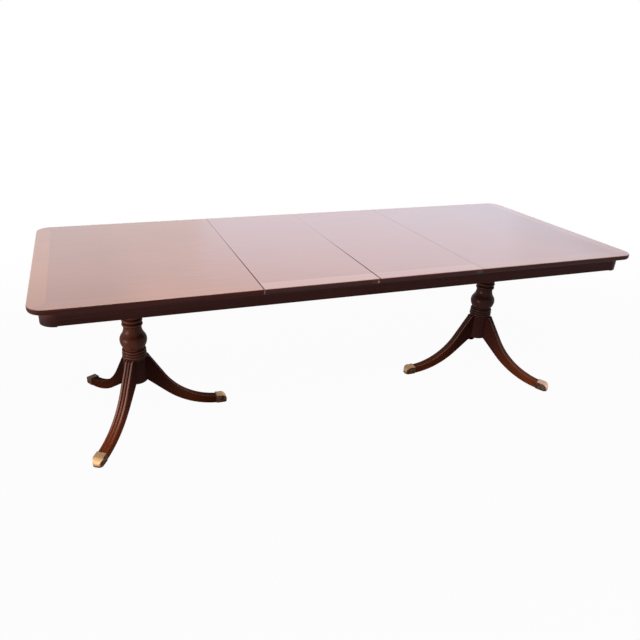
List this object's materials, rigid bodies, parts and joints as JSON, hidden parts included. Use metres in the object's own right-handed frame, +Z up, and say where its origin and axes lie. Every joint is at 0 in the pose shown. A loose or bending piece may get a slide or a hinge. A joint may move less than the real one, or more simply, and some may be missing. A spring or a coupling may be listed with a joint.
{
  "type": "double pedestal dining table",
  "caption": "Extending mahogany dining table on turned pedestals with sweeping, brass-capped legs; geared slides part the halves for skirted leaves held by pins and locks.",
  "frame": {"origin": "centre of the table on the floor", "axes": "+X along the table towards the right end as pictured, +Y towards the far side, +Z up"},
  "size_m": [2.4912, 0.99, 0.75],
  "materials": {
    "veneered_top": "polished lacquer",
    "apron_wood": "polished lacquer",
    "turned_mahogany": "polished lacquer",
    "leg_mahogany": "polished lacquer",
    "block_wood": "plain sealed wood",
    "rail_maple": "waxed maple",
    "cap_brass": "lacquered brass",
    "pin_brass": "plain brass",
    "gear_steel": "oiled steel",
    "plate_iron": "black iron",
    "screw_steel": "bright zinc",
    "lock_steel": "brassed steel"
  },
  "bodies": {
    "left_half": {"left_apron_corners": "apron_wood", "left_base_plate": "plate_iron", "left_column": "turned_mahogany", "left_end_apron": "apron_wood", "left_front_apron": "apron_wood", "left_leg_front": "leg_mahogany", "left_leg_inner": "leg_mahogany", "left_leg_rear": "leg_mahogany", "left_pedestal_block": "block_wood", "left_pins": "pin_brass", "left_racks": "gear_steel", "left_rail_front": "rail_maple", "left_rail_rear": "rail_maple", "left_rear_apron": "apron_wood", "left_screws": "screw_steel", "left_toe_cap_front": "cap_brass", "left_toe_cap_inner": "cap_brass", "left_toe_cap_rear": "cap_brass", "left_top": "veneered_top", "lock_1_plate": "lock_steel"},
    "right_half": {"lock_3_catch": "lock_steel", "right_apron_corners": "apron_wood", "right_base_plate": "plate_iron", "right_column": "turned_mahogany", "right_end_apron": "apron_wood", "right_front_apron": "apron_wood", "right_leg_front": "leg_mahogany", "right_leg_inner": "leg_mahogany", "right_leg_rear": "leg_mahogany", "right_pedestal_block": "block_wood", "right_racks": "gear_steel", "right_rail_front": "rail_maple", "right_rail_rear": "rail_maple", "right_rear_apron": "apron_wood", "right_screws": "screw_steel", "right_toe_cap_front": "cap_brass", "right_toe_cap_inner": "cap_brass", "right_toe_cap_rear": "cap_brass", "right_top": "veneered_top"},
    "leaf_1": {"leaf_1_board": "veneered_top", "leaf_1_front_apron": "apron_wood", "leaf_1_pins": "pin_brass", "leaf_1_rear_apron": "apron_wood", "lock_1_catch": "lock_steel", "lock_2_plate": "lock_steel"},
    "leaf_2": {"leaf_2_board": "veneered_top", "leaf_2_front_apron": "apron_wood", "leaf_2_pins": "pin_brass", "leaf_2_rear_apron": "apron_wood", "lock_2_catch": "lock_steel", "lock_3_plate": "lock_steel"},
    "centre_slides": {"centre_rail_front": "rail_maple", "centre_rail_rear": "rail_maple", "pinion_axles": "gear_steel"},
    "pinion_front_gear": {"pinion_front": "gear_steel"},
    "pinion_rear_gear": {"pinion_rear": "gear_steel"},
    "lock_lever_1": {"lock_1_lever": "lock_steel"},
    "lock_lever_2": {"lock_2_lever": "lock_steel"},
    "lock_lever_3": {"lock_3_lever": "lock_steel"}
  },
  "joints": [
    {"name": "pull_apart", "type": "slide", "parent": "left_half", "child": "right_half", "axis": [1, 0, 0], "range_m": [0, 0.09]},
    {"name": "centre_slide", "type": "slide", "parent": "left_half", "child": "centre_slides", "axis": [1, 0, 0], "range_m": [0, 0.045]},
    {"name": "leaf_1_slide", "type": "slide", "parent": "left_half", "child": "leaf_1", "axis": [1, 0, 0], "range_m": [0, 0.03]},
    {"name": "leaf_2_slide", "type": "slide", "parent": "left_half", "child": "leaf_2", "axis": [1, 0, 0], "range_m": [0, 0.06]},
    {"name": "pinion_front_spin", "type": "hinge", "parent": "centre_slides", "child": "pinion_front_gear", "pos_m": [0, -0.235, 0.7132], "axis": [0, 0, 1], "range_deg": [-123, 0]},
    {"name": "pinion_rear_spin", "type": "hinge", "parent": "centre_slides", "child": "pinion_rear_gear", "pos_m": [0, 0.235, 0.7132], "axis": [0, 0, 1], "range_deg": [0, 123]},
    {"name": "lock_1_swing", "type": "hinge", "parent": "left_half", "child": "lock_lever_1", "pos_m": [-0.4844, 0, 0.723], "axis": [0, 0, -1], "range_deg": [0, 90]},
    {"name": "lock_2_swing", "type": "hinge", "parent": "leaf_1", "child": "lock_lever_2", "pos_m": [-0.027, 0, 0.723], "axis": [0, 0, -1], "range_deg": [0, 90]},
    {"name": "lock_3_swing", "type": "hinge", "parent": "leaf_2", "child": "lock_lever_3", "pos_m": [0.4304, 0, 0.723], "axis": [0, 0, -1], "range_deg": [0, 90]}
  ],
  "couplings": [
    {"joint": "centre_slide", "follows": "pull_apart", "ratio": 0.5},
    {"joint": "leaf_1_slide", "follows": "pull_apart", "ratio": 0.33333},
    {"joint": "leaf_2_slide", "follows": "pull_apart", "ratio": 0.66666},
    {"joint": "pinion_front_spin", "follows": "pull_apart", "rad_per_m": -23.81},
    {"joint": "pinion_rear_spin", "follows": "pull_apart", "rad_per_m": 23.81}
  ]
}
